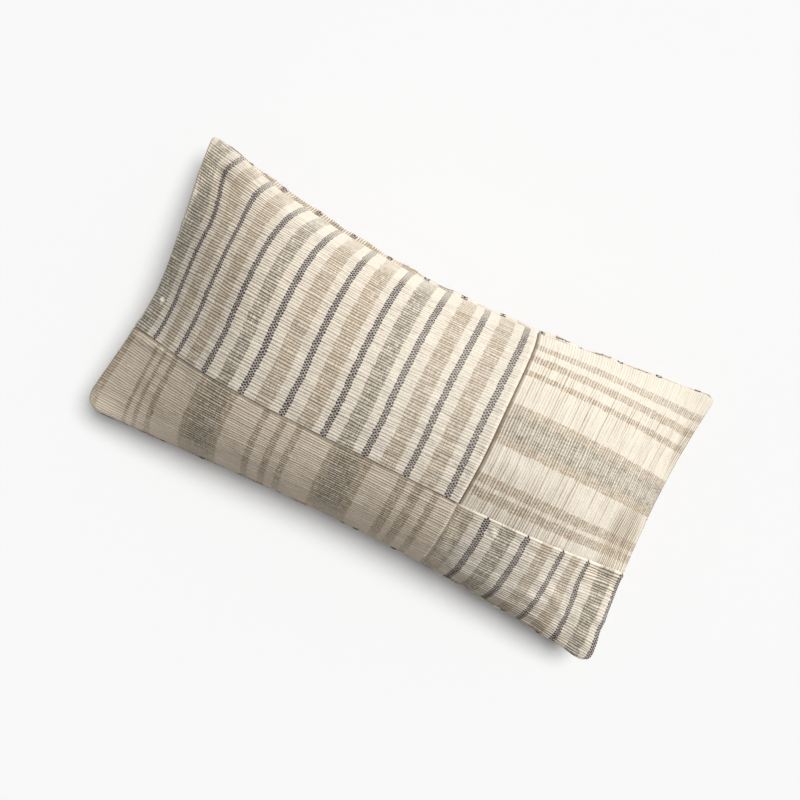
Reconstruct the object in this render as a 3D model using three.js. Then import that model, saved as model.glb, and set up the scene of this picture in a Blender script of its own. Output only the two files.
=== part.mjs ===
// Lumbar cushion cover pieced from hand-woven striped cotton, lying filled on its back.
// Millimetres, +Z up. X runs along the long side and Y across it. The pieced face looks up,
// the one-piece back rests on Z = 0, and the origin is under the middle of the whole cushion.
import * as THREE from 'three';

// The sewn cover laid flat, seam to seam, and the cloth that it is cut from.
const COVER_LENGTH = 608;
const COVER_WIDTH = 320;
const CLOTH_THICKNESS = 2;
const HEM_THICKNESS = 1.1;
const HEM_TURN = 4;
const PIECE_GAP = 0.35;
const SEAM_INSET = 0.25;
const RIM_INSET = 1.2;

// Heights of the filled cushion: its sewn edge half way along a side, and how far the
// face swells above that edge and the back below it, before the surface flattens the back.
const EDGE_HEIGHT = 56;
const FACE_SWELL = 76;
const BACK_SWELL = 66;

// The filled form: half the arc of a cross-section in radians, how square the swell is towards
// the two ends, and the share of its length that the cloth takes up in climbing them.
const SIDE_ARC = 1.03;
const FLATTEST_ARC = 0.05;
const END_POWER = 3.3;
const END_TAKE_UP = 0.074;
const TAKE_UP_POWER = 4.8;

// The four ears, where they lie on the finished cushion. trim is how far a tip is turned in,
// and the powers say how near an ear its droop and its round tip begin.
const EARS = {
  bottomLeft: { x: -297, y: -161, z: 38, trim: 4 },
  bottomRight: { x: 305, y: -157, z: 39, trim: 4 },
  topLeft: { x: -309, y: 159.5, z: 38, trim: 5 },
  topRight: { x: 293.5, y: 156.5, z: 40, trim: 3 },
};
const DROOP_POWER = { along: 3, across: 2.5 };
const TIP_POWER = 30;

// How each side pulls in between its ears: the depth, where along the side it is deepest
// (from the left or the bottom ear), and how full the curve is before and after that place.
const SIDES = {
  top: { draw: 35, deepest: 0.48, before: 2.1, after: 1.65 },
  bottom: { draw: 21, deepest: 0.54, before: 1.7, after: 2.2 },
  left: { draw: 26.8, deepest: 0.46, before: 1.55, after: 1.42 },
  right: { draw: 18, deepest: 0.56, before: 2.3, after: 2.0 },
};

// Where the seams of the pieced face run, as shares of the flat cover: the upright seam at the
// bottom and top edges, and the level seam at the left edge, at the crossing and at the right edge.
const UPRIGHT_SEAM = { bottom: 0.653, top: 0.663 };
const LEVEL_SEAM = { left: 0.316, crossing: 0.317, right: 0.333 };

// Soft hollows and swells where the filling has shifted, by place on the flat cover.
const UNEVEN_SPOTS = [
  { along: 38, across: 286, radius: 24, lift: -5 },
  { along: 566, across: 128, radius: 30, lift: -5 },
  { along: 530, across: 66, radius: 22, lift: -3 },
  { along: 180, across: 60, radius: 60, lift: 3 },
  { along: 420, across: 230, radius: 70, lift: 2 },
];

// Steps of the faceted surface in each part of the face.
const STEPS = { left: 28, right: 16, lower: 9, upper: 16 };

const STRIPED_CLOTH = { color: 0xd6cdb9, roughness: 0.95, metalness: 0 };
const BANDED_CLOTH = { color: 0xcbc2ae, roughness: 0.95, metalness: 0 };

const mix = (from, to, share) => from + (to - from) * share;

// Depth of a drawn-in side at a share of its length.
function pulledIn(side, share) {
  const before = share < side.deepest;
  const reach = before ? side.deepest : 1 - side.deepest;
  const away = Math.abs(share - side.deepest) / reach;
  return side.draw * (1 - away ** (before ? side.before : side.after));
}

// Plan position of a point, from its shares along and across the filled outline.
function planPoint(along, across) {
  const { bottomLeft, bottomRight, topLeft, topRight } = EARS;
  const leftX = mix(bottomLeft.x, topLeft.x, across) + pulledIn(SIDES.left, across);
  const rightX = mix(bottomRight.x, topRight.x, across) - pulledIn(SIDES.right, across);
  const bottomY = mix(bottomLeft.y, bottomRight.y, along) + pulledIn(SIDES.bottom, along);
  const topY = mix(topLeft.y, topRight.y, along) - pulledIn(SIDES.top, along);
  return { x: mix(leftX, rightX, along), y: mix(bottomY, topY, across) };
}

// A value held at the four ears, spread between them.
function earValue(key, along, across) {
  const low = mix(EARS.bottomLeft[key], EARS.bottomRight[key], along);
  const high = mix(EARS.topLeft[key], EARS.topRight[key], along);
  return mix(low, high, across);
}

// A point of the filled cushion that carries the spot (a, b) of the flat cover, in millimetres
// from its bottom left ear. The face swells up (swell > 0) and the back swells down.
function filledPoint(a, b, swell) {
  const s = (2 * a) / COVER_LENGTH - 1;
  const t = (2 * b) / COVER_WIDTH - 1;

  // The cloth takes more length where it climbs the ends, and follows an arc across.
  const takeUp = END_TAKE_UP * (1 - t ** 4);
  const along = s + takeUp * (s - Math.sign(s) * Math.abs(s) ** TAKE_UP_POWER);
  const arc = Math.max(FLATTEST_ARC, SIDE_ARC * (1 - s ** 4));
  const across = Math.sin(arc * t) / Math.sin(arc);
  const rise = (Math.cos(arc * t) - Math.cos(arc)) / (1 - Math.cos(arc));
  const fullness = Math.max(0, 1 - Math.abs(along) ** END_POWER) * rise;

  const plan = planPoint((along + 1) / 2, (across + 1) / 2);
  const nearEar = Math.abs(s) ** DROOP_POWER.along * Math.abs(t) ** DROOP_POWER.across;
  const edge = mix(EDGE_HEIGHT, earValue('z', (s + 1) / 2, (t + 1) / 2), nearEar);

  // The very tip of an ear is turned in and round.
  const tip = earValue('trim', (s + 1) / 2, (t + 1) / 2) * Math.abs(s * t) ** TIP_POWER;
  const x = plan.x - Math.sign(s) * tip;
  const y = plan.y - Math.sign(t) * tip;

  let uneven = 0;
  for (const spot of UNEVEN_SPOTS) {
    const away = Math.hypot(a - spot.along, b - spot.across) / spot.radius;
    uneven += spot.lift * Math.exp(-away * away);
  }
  const settled = swell > 0 ? uneven * Math.min(1, 3 * fullness) : 0;
  return new THREE.Vector3(x, y, Math.max(0, edge + swell * fullness + settled));
}

// Outward direction of the face at a spot of the flat cover.
function faceNormal(a, b) {
  const a0 = Math.max(0, a - CLOTH_THICKNESS);
  const a1 = Math.min(COVER_LENGTH, a + CLOTH_THICKNESS);
  const b0 = Math.max(0, b - CLOTH_THICKNESS);
  const b1 = Math.min(COVER_WIDTH, b + CLOTH_THICKNESS);
  const alongCloth = filledPoint(a1, b, FACE_SWELL).sub(filledPoint(a0, b, FACE_SWELL));
  const acrossCloth = filledPoint(a, b1, FACE_SWELL).sub(filledPoint(a, b0, FACE_SWELL));
  return alongCloth.cross(acrossCloth).normalize();
}

// The flat outline of each piece of the face: its corners from the bottom left, anticlockwise.
const seamCrossing = {
  a: COVER_LENGTH * mix(UPRIGHT_SEAM.bottom, UPRIGHT_SEAM.top, LEVEL_SEAM.crossing),
  b: COVER_WIDTH * LEVEL_SEAM.crossing,
};
const seamFoot = { a: COVER_LENGTH * UPRIGHT_SEAM.bottom, b: 0 };
const seamHead = { a: COVER_LENGTH * UPRIGHT_SEAM.top, b: COVER_WIDTH };
const seamLeft = { a: 0, b: COVER_WIDTH * LEVEL_SEAM.left };
const seamRight = { a: COVER_LENGTH, b: COVER_WIDTH * LEVEL_SEAM.right };
const flatCorner = {
  bottomLeft: { a: 0, b: 0 },
  bottomRight: { a: COVER_LENGTH, b: 0 },
  topLeft: { a: 0, b: COVER_WIDTH },
  topRight: { a: COVER_LENGTH, b: COVER_WIDTH },
};

const PIECES = [
  {
    name: 'front_lower_strip',
    corners: [flatCorner.bottomLeft, seamFoot, seamCrossing, seamLeft],
    columns: STEPS.left,
    rows: STEPS.lower,
    cloth: BANDED_CLOTH,
  },
  {
    name: 'front_corner_panel',
    corners: [seamFoot, flatCorner.bottomRight, seamRight, seamCrossing],
    columns: STEPS.right,
    rows: STEPS.lower,
    cloth: STRIPED_CLOTH,
  },
  {
    name: 'front_turned_panel',
    corners: [seamCrossing, seamRight, flatCorner.topRight, seamHead],
    columns: STEPS.right,
    rows: STEPS.upper,
    cloth: BANDED_CLOTH,
  },
  {
    name: 'front_main_panel',
    corners: [seamLeft, seamCrossing, seamHead, flatCorner.topLeft],
    columns: STEPS.left,
    rows: STEPS.upper,
    cloth: STRIPED_CLOTH,
  },
];

// A spot inside a four-cornered piece, from its shares along and across.
function spotInPiece(corners, along, across) {
  const [c0, c1, c2, c3] = corners;
  return {
    a: mix(mix(c0.a, c1.a, along), mix(c3.a, c2.a, along), across),
    b: mix(mix(c0.b, c1.b, along), mix(c3.b, c2.b, along), across),
  };
}

// Shares of a length at which the surface has a vertex: close to both ends, then even.
function stations(count, length) {
  const turn = HEM_TURN / length;
  const shares = [0];
  for (let step = 0; step <= count - 2; step += 1) {
    shares.push(mix(turn, 1 - turn, step / (count - 2)));
  }
  shares.push(1);
  return shares;
}

// Faces between neighbouring rows of a grid of vertices, looking the way of its normal.
function gridFaces(columns, rows, vertexAt) {
  const faces = [];
  for (let row = 0; row < rows; row += 1) {
    for (let column = 0; column < columns; column += 1) {
      const near = vertexAt(column, row);
      const right = vertexAt(column + 1, row);
      const far = vertexAt(column + 1, row + 1);
      const left = vertexAt(column, row + 1);
      faces.push([near, right, far], [near, far, left]);
    }
  }
  return faces;
}

function closedGeometry(points, faces) {
  const geometry = new THREE.BufferGeometry();
  const positions = points.flatMap((point) => [point.x, point.y, point.z]);
  geometry.setAttribute('position', new THREE.Float32BufferAttribute(positions, 3));
  geometry.setIndex(faces.flat());
  geometry.computeVertexNormals();
  return geometry;
}

// Shares along and across a piece at which its surface has vertices.
function pieceShares({ corners, columns, rows }) {
  const [c0, c1, , c3] = corners;
  return {
    along: stations(columns, Math.hypot(c1.a - c0.a, c1.b - c0.b)),
    across: stations(rows, Math.hypot(c3.a - c0.a, c3.b - c0.b)),
  };
}

// How far a border vertex steps in, clear of the cushion's sewn rim or of the next piece.
function borderInset(value, length) {
  return value < 1 || value > length - 1 ? RIM_INSET : SEAM_INSET;
}

// The places round the border of a grid of vertices, anticlockwise.
function borderPlaces(columns, rows) {
  const lengthwise = [...Array(columns).keys()];
  const upward = [...Array(rows).keys()];
  return [
    ...lengthwise.map((step) => [step, 0]),
    ...upward.map((step) => [columns, step]),
    ...lengthwise.map((step) => [columns - step, rows]),
    ...upward.map((step) => [0, rows - step]),
  ];
}

// A piece of cloth on the face: full thickness inside, thinner where it turns into its seams.
function clothGeometry(piece) {
  const { corners, columns, rows } = piece;
  const shares = pieceShares(piece);
  const middle = spotInPiece(corners, 0.5, 0.5);
  const innerPoints = [];
  const outerPoints = [];
  shares.across.forEach((across, row) => {
    shares.along.forEach((along, column) => {
      const atSide = column === 0 || column === columns;
      const atFoot = row === 0 || row === rows;
      let { a, b } = spotInPiece(corners, along, across);
      if (atSide) {
        a += Math.sign(middle.a - a) * borderInset(a, COVER_LENGTH);
      }
      if (atFoot) {
        b += Math.sign(middle.b - b) * borderInset(b, COVER_WIDTH);
      }
      const thickness = atSide || atFoot ? HEM_THICKNESS : CLOTH_THICKNESS;
      const normal = faceNormal(a, b);
      const ground = filledPoint(a, b, FACE_SWELL);
      innerPoints.push(ground.clone().addScaledVector(normal, PIECE_GAP));
      outerPoints.push(ground.clone().addScaledVector(normal, PIECE_GAP + thickness));
    });
  });
  const inner = (column, row) => row * (columns + 1) + column;
  const outer = (column, row) => innerPoints.length + inner(column, row);
  const faces = gridFaces(columns, rows, outer);
  for (const face of gridFaces(columns, rows, inner)) {
    faces.push(face.reverse());
  }

  // The turned edge all round joins the inner face to the outer one.
  const border = borderPlaces(columns, rows);
  border.forEach((place, index) => {
    const next = border[(index + 1) % border.length];
    faces.push([inner(...place), inner(...next), outer(...next)]);
    faces.push([inner(...place), outer(...next), outer(...place)]);
  });
  return closedGeometry([...innerPoints, ...outerPoints], faces);
}

// Vertex places of the whole face: the pieces' own places, with one line along each seam.
function wholeCoverSpots() {
  const [lowerLeft, lowerRight, upperRight, upperLeft] = PIECES;
  const spots = [];
  for (const [leftPiece, rightPiece] of [[lowerLeft, lowerRight], [upperLeft, upperRight]]) {
    const leftShares = pieceShares(leftPiece);
    const rightShares = pieceShares(rightPiece);
    for (const across of leftShares.across.slice(spots.length === 0 ? 0 : 1)) {
      spots.push([
        ...leftShares.along.map((along) => spotInPiece(leftPiece.corners, along, across)),
        ...rightShares.along.slice(1).map((along) => spotInPiece(rightPiece.corners, along, across)),
      ]);
    }
  }
  return spots;
}

// The filled cushion: one closed solid whose underside is the one-piece back.
function cushionGeometry() {
  const spots = wholeCoverSpots();
  const rows = spots.length - 1;
  const columns = spots[0].length - 1;
  const points = [];
  const faceIndex = [];
  const backIndex = [];
  spots.forEach((line, row) => {
    faceIndex.push([]);
    backIndex.push([]);
    line.forEach(({ a, b }, column) => {
      const onEdge = row === 0 || row === rows || column === 0 || column === columns;
      faceIndex[row].push(points.length);
      points.push(filledPoint(a, b, FACE_SWELL));
      if (!onEdge) {
        backIndex[row].push(points.length);
        points.push(filledPoint(a, b, -BACK_SWELL));
      } else {
        backIndex[row].push(faceIndex[row][column]);
      }
    });
  });
  const faces = gridFaces(columns, rows, (column, row) => faceIndex[row][column]);
  for (const face of gridFaces(columns, rows, (column, row) => backIndex[row][column])) {
    faces.push(face.reverse());
  }
  return closedGeometry(points, faces);
}

function namedMesh(name, geometry, cloth) {
  const mesh = new THREE.Mesh(geometry, new THREE.MeshStandardMaterial(cloth));
  mesh.name = name;
  return mesh;
}

const cover = new THREE.Group();
cover.add(namedMesh('filled_cushion_and_back', cushionGeometry(), STRIPED_CLOTH));
for (const piece of PIECES) {
  cover.add(namedMesh(piece.name, clothGeometry(piece), piece.cloth));
}

// Centre the cushion over the origin.
const reach = new THREE.Box3().setFromObject(cover);
const centre = reach.getCenter(new THREE.Vector3());
cover.position.set(-centre.x, -centre.y, -reach.min.z);

export default cover;
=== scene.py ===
import math

import bmesh
import bpy
import numpy as np
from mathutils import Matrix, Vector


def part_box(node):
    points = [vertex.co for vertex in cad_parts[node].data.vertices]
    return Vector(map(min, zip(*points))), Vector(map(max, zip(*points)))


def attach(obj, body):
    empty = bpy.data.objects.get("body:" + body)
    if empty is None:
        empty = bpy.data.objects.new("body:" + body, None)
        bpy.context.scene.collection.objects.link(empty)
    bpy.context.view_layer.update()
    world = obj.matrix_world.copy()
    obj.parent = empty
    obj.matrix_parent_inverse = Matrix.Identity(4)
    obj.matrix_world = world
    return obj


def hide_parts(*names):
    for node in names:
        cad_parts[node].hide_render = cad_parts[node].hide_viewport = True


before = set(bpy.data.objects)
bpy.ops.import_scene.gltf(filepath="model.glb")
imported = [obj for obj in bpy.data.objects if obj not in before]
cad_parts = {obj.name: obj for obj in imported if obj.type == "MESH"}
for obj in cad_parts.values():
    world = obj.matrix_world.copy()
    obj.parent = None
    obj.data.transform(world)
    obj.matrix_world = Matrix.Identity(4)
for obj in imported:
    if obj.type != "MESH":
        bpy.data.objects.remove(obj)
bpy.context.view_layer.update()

# The filled cushion and its one-piece back. A maker sews the cover as a flat bag of hand-woven
# striped cotton, with a plain seam all round, and fills it with fibre. Its face and back swell, its
# sides draw in between four ears, and its weight flattens the back that it lies on.
MM = 0.001
COVER_LENGTH, COVER_WIDTH = 608, 320
EDGE_HEIGHT, FACE_SWELL, BACK_SWELL = 56, 76, 66
SIDE_ARC, FLATTEST_ARC, ARC_FADE = 1.03, 0.05, 4
END_POWER, END_TAKE_UP, TAKE_UP_POWER = 3.3, 0.074, 4.8
EARS = {
    "bottom_left": {"x": -300, "y": -161, "z": 38, "trim": 4},
    "bottom_right": {"x": 305, "y": -157, "z": 39, "trim": 4},
    "top_left": {"x": -309, "y": 159.5, "z": 38, "trim": 5},
    "top_right": {"x": 293.5, "y": 156.5, "z": 40, "trim": 3},
}
DROOP_ALONG, DROOP_ACROSS, TIP_POWER = 3, 2.5, 30
SIDES = {
    "top": {"draw": 35, "deepest": 0.48, "before": 2.1, "after": 1.65},
    "bottom": {"draw": 21, "deepest": 0.54, "before": 1.7, "after": 2.2},
    "left": {"draw": 26.8, "deepest": 0.46, "before": 1.55, "after": 1.42},
    "right": {"draw": 18, "deepest": 0.56, "before": 2.3, "after": 2.0},
}
UNEVEN_SPOTS = [
    {"along": 38, "across": 286, "radius": 24, "lift": -5},
    {"along": 566, "across": 128, "radius": 30, "lift": -5},
    {"along": 530, "across": 66, "radius": 22, "lift": -3},
    {"along": 180, "across": 60, "radius": 60, "lift": 3},
    {"along": 420, "across": 230, "radius": 70, "lift": 2},
]
SPOTS_RISE = 3


def mix(start, end, share):
    return start + (end - start) * share


def pulled_in(side, share):
    """Depth of a drawn-in side at a share of its length."""
    before = share < side["deepest"]
    reach = np.where(before, side["deepest"], 1 - side["deepest"])
    away = np.abs(share - side["deepest"]) / reach
    return side["draw"] * (1 - away ** np.where(before, side["before"], side["after"]))


def ear_value(key, along, across):
    low = mix(EARS["bottom_left"][key], EARS["bottom_right"][key], along)
    high = mix(EARS["top_left"][key], EARS["top_right"][key], along)
    return mix(low, high, across)


def filled_form(a, b, swell, hollows=1):
    """Places on the filled cushion of spots on the flat cover, which a and b give in millimetres from
    its bottom left ear. They lie on the face where swell is above 0, else on the back."""
    s, t = 2 * a / COVER_LENGTH - 1, 2 * b / COVER_WIDTH - 1
    take_up = END_TAKE_UP * (1 - t**ARC_FADE)
    along = s + take_up * (s - np.sign(s) * np.abs(s) ** TAKE_UP_POWER)
    arc = np.maximum(FLATTEST_ARC, SIDE_ARC * (1 - s**ARC_FADE))
    across = np.sin(arc * t) / np.sin(arc)
    rise = (np.cos(arc * t) - np.cos(arc)) / (1 - np.cos(arc))
    fullness = np.maximum(0, 1 - np.abs(along) ** END_POWER) * rise

    share_x, share_y = (along + 1) / 2, (across + 1) / 2
    left = mix(EARS["bottom_left"]["x"], EARS["top_left"]["x"], share_y)
    left = left + pulled_in(SIDES["left"], share_y)
    right = mix(EARS["bottom_right"]["x"], EARS["top_right"]["x"], share_y)
    right = right - pulled_in(SIDES["right"], share_y)
    low = mix(EARS["bottom_left"]["y"], EARS["bottom_right"]["y"], share_x)
    low = low + pulled_in(SIDES["bottom"], share_x)
    high = mix(EARS["top_left"]["y"], EARS["top_right"]["y"], share_x)
    high = high - pulled_in(SIDES["top"], share_x)

    near_ear = np.abs(s) ** DROOP_ALONG * np.abs(t) ** DROOP_ACROSS
    edge = mix(EDGE_HEIGHT, ear_value("z", (s + 1) / 2, (t + 1) / 2), near_ear)
    tip = ear_value("trim", (s + 1) / 2, (t + 1) / 2) * np.abs(s * t) ** TIP_POWER
    uneven = 0
    for spot in UNEVEN_SPOTS:
        away = (a - spot["along"]) ** 2 + (b - spot["across"]) ** 2
        uneven = uneven + spot["lift"] * np.exp(-away / spot["radius"] ** 2)
    settled = hollows * uneven * np.minimum(1, SPOTS_RISE * fullness) if swell > 0 else 0
    x = mix(left, right, share_x) - np.sign(s) * tip
    y = mix(low, high, share_y) - np.sign(t) * tip
    return np.stack([x, y, np.maximum(0, edge + swell * fullness + settled)], axis=-1)


# How the filled cloth settles is simulated: the cover is one closed bag of stretchy squares, held
# along its sewn edge and where it rests, while the filling presses out.
NET_CELL = 6.4
NET_COLUMNS, NET_ROWS = round(COVER_LENGTH / NET_CELL), round(COVER_WIDTH / NET_CELL)
NET_SIZE = np.array([COVER_LENGTH / NET_COLUMNS, COVER_WIDTH / NET_ROWS])
SETTLE_FRAMES, MOST_MOVED, CLOTH_PRESSURE, CLOTH_TO_SPARE = 30, 4, 3.0, 1.02
ON_THE_RIM, RESTS_BELOW, SAME_SPOT = 0.4999, 0.5, 1e-4


def bag_net():
    """The closed net on the filled form, with its flat cut as a shape key."""
    bm = bmesh.new()
    bmesh.ops.create_grid(bm, x_segments=NET_COLUMNS, y_segments=NET_ROWS, size=0.5)
    top_faces = list(bm.faces)
    copy = bmesh.ops.duplicate(bm, geom=list(bm.verts) + list(bm.edges) + top_faces)["geom"]
    lower = [part for part in copy if isinstance(part, bmesh.types.BMVert)]
    lower_faces = [part for part in copy if isinstance(part, bmesh.types.BMFace)]
    bmesh.ops.reverse_faces(bm, faces=lower_faces)
    bmesh.ops.translate(bm, verts=lower, vec=(0, 0, -1))
    rim = [vert for vert in bm.verts if vert.is_boundary]
    for vert in rim:
        vert.co.z = 0
    bmesh.ops.remove_doubles(bm, verts=rim, dist=SAME_SPOT)
    mesh = bpy.data.meshes.new("bag_net")
    bm.to_mesh(mesh)
    bm.free()
    square = np.zeros(len(mesh.vertices) * 3)
    mesh.vertices.foreach_get("co", square)
    square = square.reshape(-1, 3)
    a, b = (square[:, 0] + 0.5) * COVER_LENGTH, (square[:, 1] + 0.5) * COVER_WIDTH
    on_back = square[:, 2] < -0.5
    face, back = filled_form(a, b, FACE_SWELL, 0), filled_form(a, b, -BACK_SWELL)
    start = np.where(on_back[:, None], back, face)
    mesh.vertices.foreach_set("co", (start * MM).ravel())
    net = bpy.data.objects.new("bag_net", mesh)
    bpy.context.scene.collection.objects.link(net)
    net.shape_key_add(name="filled")
    flat = net.shape_key_add(name="flat cut")
    cut = np.stack([a, b, np.zeros_like(a)], axis=-1) * MM * CLOTH_TO_SPARE
    flat.data.foreach_set("co", cut.ravel())
    held = net.vertex_groups.new(name="held")
    border = (np.abs(square[:, 0]) > ON_THE_RIM) | (np.abs(square[:, 1]) > ON_THE_RIM)
    rests = on_back & (start[:, 2] < RESTS_BELOW)
    held.add([int(i) for i in np.nonzero(border | rests)[0]], 1.0, "REPLACE")
    return net, flat, a, b, on_back, start


def settled_moves():
    """How far the cloth moves from the smooth form, as a net of moves in millimetres for the face and
    one for the back."""
    moves = {"face": np.zeros((NET_ROWS + 1, NET_COLUMNS + 1, 3))}
    moves["back"] = moves["face"].copy()
    net, flat, a, b, on_back, start = bag_net()
    cloth = net.modifiers.new("settle", "CLOTH")
    cloth.settings.quality = 6
    cloth.settings.mass = 0.01
    cloth.settings.tension_stiffness = 5
    cloth.settings.compression_stiffness = 5
    cloth.settings.shear_stiffness = 1
    cloth.settings.bending_stiffness = 0.02
    cloth.settings.use_pressure = True
    cloth.settings.uniform_pressure_force = CLOTH_PRESSURE
    cloth.settings.vertex_group_mass = "held"
    cloth.settings.rest_shape_key = flat
    cloth.settings.effector_weights.gravity = 0
    cloth.point_cache.frame_start, cloth.point_cache.frame_end = 1, SETTLE_FRAMES
    for step in range(1, SETTLE_FRAMES + 1):
        bpy.context.scene.frame_set(step)
    filled = net.evaluated_get(bpy.context.evaluated_depsgraph_get())
    settled = bpy.data.meshes.new_from_object(filled)
    bpy.context.scene.frame_set(1)
    ends = np.zeros(len(settled.vertices) * 3)
    settled.vertices.foreach_get("co", ends)
    moved = ends.reshape(-1, 3) / MM - start
    reach = np.linalg.norm(moved, axis=1, keepdims=True)
    kept = MOST_MOVED * np.tanh(reach / MOST_MOVED) / np.maximum(reach, 1e-9)
    moved *= np.where(reach > 0, kept, 0)
    column = np.rint(a / NET_SIZE[0]).astype(int)
    row = np.rint(b / NET_SIZE[1]).astype(int)
    moves["face"][row[~on_back], column[~on_back]] = moved[~on_back]
    moves["back"][row[on_back], column[on_back]] = moved[on_back]
    for net_moves in moves.values():
        net_moves[1:-1] = (net_moves[:-2] + 2 * net_moves[1:-1] + net_moves[2:]) / 4
        sides = net_moves[:, :-2] + 2 * net_moves[:, 1:-1] + net_moves[:, 2:]
        net_moves[:, 1:-1] = sides / 4
    print("settled: mean move %.2f mm, largest %.2f mm" % (reach.mean(), reach.max()))
    for mesh in (net.data, settled):
        bpy.data.meshes.remove(mesh)
    return moves


MOVES = settled_moves()


def between(net, a, b):
    """A net's value at flat spots, by cubic interpolation."""
    at_column, at_row = a / NET_SIZE[0], b / NET_SIZE[1]
    column = np.clip(np.floor(at_column).astype(int), 0, NET_COLUMNS - 1)
    row = np.clip(np.floor(at_row).astype(int), 0, NET_ROWS - 1)

    def weights(f):
        return [
            -0.5 * f + f**2 - 0.5 * f**3,
            1 - 2.5 * f**2 + 1.5 * f**3,
            0.5 * f + 2 * f**2 - 1.5 * f**3,
            -0.5 * f**2 + 0.5 * f**3,
        ]

    total = 0
    for j, down in enumerate(weights(at_row - row)):
        line = np.clip(row + j - 1, 0, NET_ROWS)
        for i, side in enumerate(weights(at_column - column)):
            spot = net[line, np.clip(column + i - 1, 0, NET_COLUMNS)]
            total = total + (down * side)[..., None] * spot
    return total


EAR_ROUNDING = {"bottom_left": 27, "bottom_right": 17, "top_left": 9, "top_right": 11}


def rounded_ears(a, b):
    """Flat spots with the square corners of the cover drawn in to quarter circles."""
    for ear, radius in EAR_ROUNDING.items():
        right, top = "right" in ear, "top" in ear
        p = radius - (COVER_LENGTH - a if right else a)
        q = radius - (COVER_WIDTH - b if top else b)
        inside = (p > 0) & (q > 0)
        p2 = np.where(inside, p * np.sqrt(1 - np.clip(q / radius, 0, 1) ** 2 / 2), p)
        q2 = np.where(inside, q * np.sqrt(1 - np.clip(p / radius, 0, 1) ** 2 / 2), q)
        a = COVER_LENGTH - radius + p2 if right else radius - p2
        b = COVER_WIDTH - radius + q2 if top else radius - q2
    return a, b


def crease(start, end, wide, lift):
    """A crease from one flat spot to another: a ridge, or a trough where lift is below 0."""
    return {"start": np.array(start, float), "end": np.array(end, float), "wide": wide, "lift": lift}


# The main creases of the face lie at its ends and along its seams. Two of them are broad swells of
# the left half, and the last two are the knots in its yarn.
CREASES = [
    crease((16, 288), (58, 282), 6, -2.0),
    crease((6, 250), (34, 296), 9, -3.0),
    crease((4, 92), (70, 97), 5, 1.6),
    crease((24, 12), (60, 60), 8, -1.6),
    crease((588, 286), (597, 226), 7, -2.6),
    crease((578, 168), (584, 112), 6, -2.6),
    crease((562, 160), (564, 118), 4, -1.3),
    crease((594, 150), (597, 108), 4, -1.6),
    crease((548, 98), (602, 92), 8, -3.4),
    crease((577, 84), (548, 20), 9, -3.2),
    crease((600, 70), (566, 10), 7, 1.8),
    crease((470, 20), (540, 14), 6, 1.5),
    crease((300, 150), (392, 156), 3, -0.7),
    crease((330, 175), (392, 169), 3, -0.7),
    crease((340, 128), (392, 132), 3, -0.6),
    crease((404, 96), (412, 14), 5, -1.2),
    crease((126, 40), (126, 290), 32, 4.0),
    crease((32, 100), (32, 250), 26, -2.0),
    crease((520, 60), (546, 40), 6, 1.2),
    crease((15, 139), (20, 139), 2.2, 1.6),
    crease((434, 95), (440, 86), 2.0, 1.5),
]
CREASES_FADE = 12


def creased(a, b):
    """Height of the creases at flat spots. Each fades at its ends."""
    height = 0
    for made in CREASES:
        start, end = made["start"], made["end"]
        length = np.linalg.norm(end - start)
        way = (end - start) / length
        past = ((a - start[0]) * way[0] + (b - start[1]) * way[1]) / length
        aside = (a - start[0]) * way[1] - (b - start[1]) * way[0]
        fades = np.exp(-((2 * past - 1) ** 4))
        height = height + made["lift"] * fades * np.exp(-((aside / made["wide"]) ** 2))
    return height


# The form stands where the CAD cushion stands, with the middle of its outline over the same spot.
along_side, no_way = np.linspace(0, 1, 400), np.zeros(400)
outline = np.concatenate([
    filled_form(along_side * COVER_LENGTH, no_way, 1),
    filled_form(along_side * COVER_LENGTH, no_way + COVER_WIDTH, 1),
    filled_form(no_way, along_side * COVER_WIDTH, 1),
    filled_form(no_way + COVER_LENGTH, along_side * COVER_WIDTH, 1),
])
middle = (outline.min(0) + outline.max(0)) / 2
cushion_low, cushion_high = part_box("filled_cushion_and_back")
place_x = (cushion_low.x + cushion_high.x) / 2 / MM - middle[0]
place_y = (cushion_low.y + cushion_high.y) / 2 / MM - middle[1]
NORMAL_STEP = 1.6


def settled_form(a, b, side):
    """Places on the settled cushion, in the frame's millimetres, for its face or its back."""
    a, b = rounded_ears(a, b)
    swell = FACE_SWELL if side == "face" else -BACK_SWELL
    shape = filled_form(a, b, swell) + between(MOVES[side], a, b)
    if side == "face":
        inside = np.minimum(np.minimum(a, COVER_LENGTH - a), np.minimum(b, COVER_WIDTH - b))
        shape[..., 2] += creased(a, b) * np.clip(inside / CREASES_FADE, 0, 1)
    shape[..., 2] = np.maximum(shape[..., 2], 0)
    return shape + np.array([place_x, place_y, 0])


def outward(a, b, side):
    """Direction out of the settled surface at flat spots."""
    a0, a1 = np.maximum(a - NORMAL_STEP, 0), np.minimum(a + NORMAL_STEP, COVER_LENGTH)
    b0, b1 = np.maximum(b - NORMAL_STEP, 0), np.minimum(b + NORMAL_STEP, COVER_WIDTH)
    along = settled_form(a1, b, side) - settled_form(a0, b, side)
    across = settled_form(a, b1, side) - settled_form(a, b0, side)
    normal = np.cross(along, across)
    normal /= np.maximum(np.linalg.norm(normal, axis=-1, keepdims=True), 1e-9)
    return normal if side == "face" else -normal


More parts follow.
